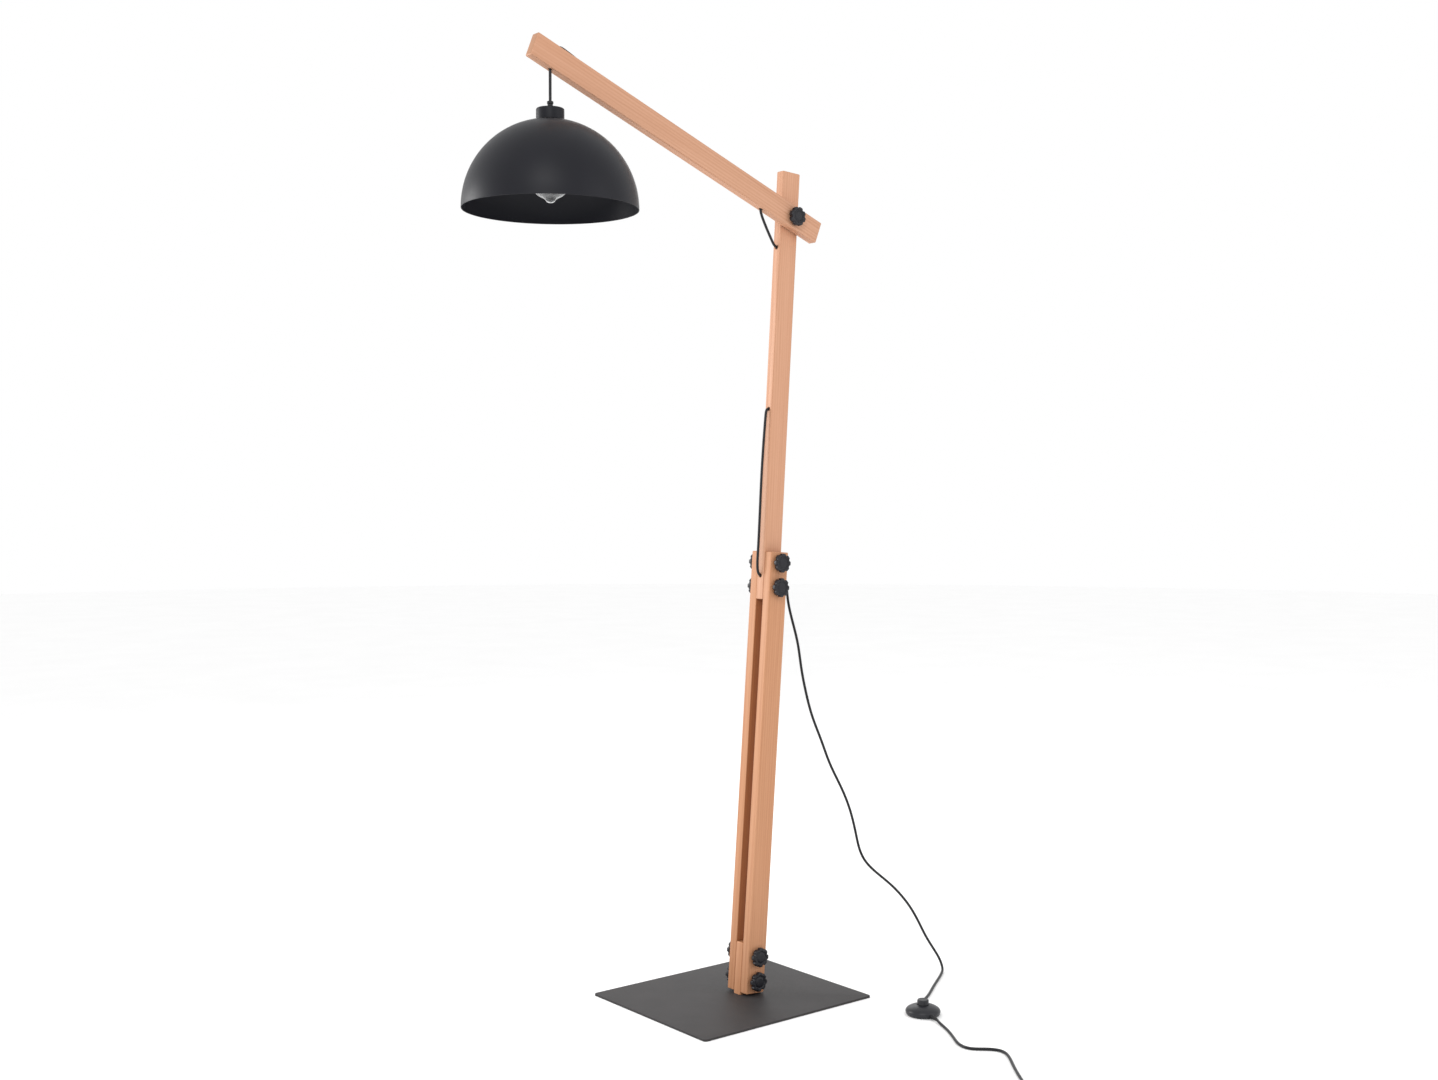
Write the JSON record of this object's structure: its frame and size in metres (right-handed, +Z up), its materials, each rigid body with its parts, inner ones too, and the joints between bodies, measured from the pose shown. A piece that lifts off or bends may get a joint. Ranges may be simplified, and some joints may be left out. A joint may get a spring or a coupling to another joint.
{
  "type": "adjustable arm floor lamp",
  "caption": "Floor lamp: a leaning timber stand on a flat steel plate, a tilting timber arm clamped by star knobs, a hanging dome shade and a lead with a foot switch.",
  "frame": {"origin": "on the floor at the middle of the base plate's underside", "axes": "+Z up; the arm reaches towards -X; the star knobs face -Y"},
  "size_m": [1.0023, 0.8986, 1.7239],
  "materials": {
    "plate_coat": "fine textured matte powder coat",
    "timber": "smooth oiled softwood",
    "knob_plastic": "moulded, matte",
    "zinc_steel": "zinc plated",
    "black_washer": "black oxide",
    "cable_sheath": "smooth flexible sheath",
    "black_plastic": "moulded",
    "switch_plastic": "moulded, satin",
    "shade_coat": "matte powder coat",
    "bulb_metal": "nickel plated",
    "bulb_clear": "clear blown",
    "bulb_inner": "glass stem with filaments",
    "switch_inner": "moulded"
  },
  "bodies": {
    "stand": {"base_plate": "plate_coat", "plate_screws": "zinc_steel", "spacer_block": "timber", "front_leg": "timber", "rear_leg": "timber", "upper_post": "timber", "leg_washers": "black_washer", "arm_washer": "black_washer", "arm_rear_washer": "black_washer", "loop_cable": "cable_sheath", "post_cable": "cable_sheath", "side_cable": "cable_sheath", "floor_lead": "cable_sheath", "switch_base": "black_plastic", "switch_cover": "switch_plastic", "switch_core": "switch_inner", "switch_gland_in": "cable_sheath", "switch_gland_out": "cable_sheath", "wall_lead": "cable_sheath", "lead_coil": "cable_sheath", "lead_tail": "cable_sheath", "plug_relief": "cable_sheath", "plug_body": "black_plastic", "plug_pins": "bulb_metal", "cable_tie": "black_plastic"},
    "arm": {"arm_beam": "timber", "arm_face_washer": "black_washer", "arm_cable": "cable_sheath"},
    "pendant": {"pendant_cable": "cable_sheath"},
    "shade": {"cord_grip": "black_plastic", "shade_cap": "shade_coat", "shade_shell": "shade_coat", "lampholder": "black_plastic", "shade_ring": "black_plastic", "bulb_cap": "bulb_metal", "bulb_glass": "bulb_clear", "bulb_stem": "bulb_inner"},
    "button": {"switch_button": "switch_plastic"},
    "arm_knob": {"arm_knob": "knob_plastic", "arm_bolt": "zinc_steel"},
    "arm_nut": {"arm_nut": "black_washer"},
    "base_knob_lower": {"base_knob_lower": "knob_plastic", "base_bolt_lower": "zinc_steel"},
    "base_nut_lower": {"base_nut_lower": "knob_plastic"},
    "base_knob_upper": {"base_knob_upper": "knob_plastic", "base_bolt_upper": "zinc_steel"},
    "base_nut_upper": {"base_nut_upper": "knob_plastic"},
    "clamp_knob_lower": {"clamp_knob_lower": "knob_plastic", "clamp_bolt_lower": "zinc_steel"},
    "clamp_nut_lower": {"clamp_nut_lower": "knob_plastic"},
    "clamp_knob_upper": {"clamp_knob_upper": "knob_plastic", "clamp_bolt_upper": "zinc_steel"},
    "clamp_nut_upper": {"clamp_nut_upper": "knob_plastic"}
  },
  "joints": [
    {"name": "arm_tilt", "type": "hinge", "parent": "stand", "child": "arm", "pos_m": [0.126, -0.0236, 1.476], "axis": [0, 1, 0], "range_deg": [-45, 25], "deforming": ["loop_cable"]},
    {"name": "pendant_swing", "type": "hinge", "parent": "arm", "child": "pendant", "pos_m": [-0.4176, -0.0236, 1.664], "axis": [0, 1, 0], "range_deg": [-27, 55]},
    {"name": "shade_swing", "type": "hinge", "parent": "pendant", "child": "shade", "pos_m": [-0.4176, -0.0236, 1.617], "axis": [1, 0, 0], "range_deg": [-15, 15]},
    {"name": "foot_button", "type": "slide", "parent": "stand", "child": "button", "axis": [0, 0, -1], "range_m": [0, 0.003], "stiffness_N_per_m": 300},
    {"name": "arm_knob_turn", "type": "hinge", "parent": "arm", "child": "arm_knob", "pos_m": [0.126, -0.0236, 1.476], "axis": [0, 1, 0], "continuous": true},
    {"name": "arm_nut_turn", "type": "hinge", "parent": "stand", "child": "arm_nut", "pos_m": [0.126, -0.0236, 1.476], "axis": [0, 1, 0], "continuous": true},
    {"name": "base_knob_lower_turn", "type": "hinge", "parent": "stand", "child": "base_knob_lower", "pos_m": [0.03178, -0.0034, 0.03092], "axis": [0, 1, 0], "continuous": true},
    {"name": "base_nut_lower_turn", "type": "hinge", "parent": "stand", "child": "base_nut_lower", "pos_m": [0.03178, -0.0034, 0.03092], "axis": [0, 1, 0], "continuous": true},
    {"name": "base_knob_upper_turn", "type": "hinge", "parent": "stand", "child": "base_knob_upper", "pos_m": [0.03515, -0.0034, 0.07679], "axis": [0, 1, 0], "continuous": true},
    {"name": "base_nut_upper_turn", "type": "hinge", "parent": "stand", "child": "base_nut_upper", "pos_m": [0.03515, -0.0034, 0.07679], "axis": [0, 1, 0], "continuous": true},
    {"name": "clamp_knob_lower_turn", "type": "hinge", "parent": "stand", "child": "clamp_knob_lower", "pos_m": [0.08639, -0.0034, 0.77291], "axis": [0, 1, 0], "continuous": true},
    {"name": "clamp_nut_lower_turn", "type": "hinge", "parent": "stand", "child": "clamp_nut_lower", "pos_m": [0.08639, -0.0034, 0.77291], "axis": [0, 1, 0], "continuous": true},
    {"name": "clamp_knob_upper_turn", "type": "hinge", "parent": "stand", "child": "clamp_knob_upper", "pos_m": [0.08981, -0.0034, 0.81928], "axis": [0, 1, 0], "continuous": true},
    {"name": "clamp_nut_upper_turn", "type": "hinge", "parent": "stand", "child": "clamp_nut_upper", "pos_m": [0.08981, -0.0034, 0.81928], "axis": [0, 1, 0], "continuous": true}
  ]
}
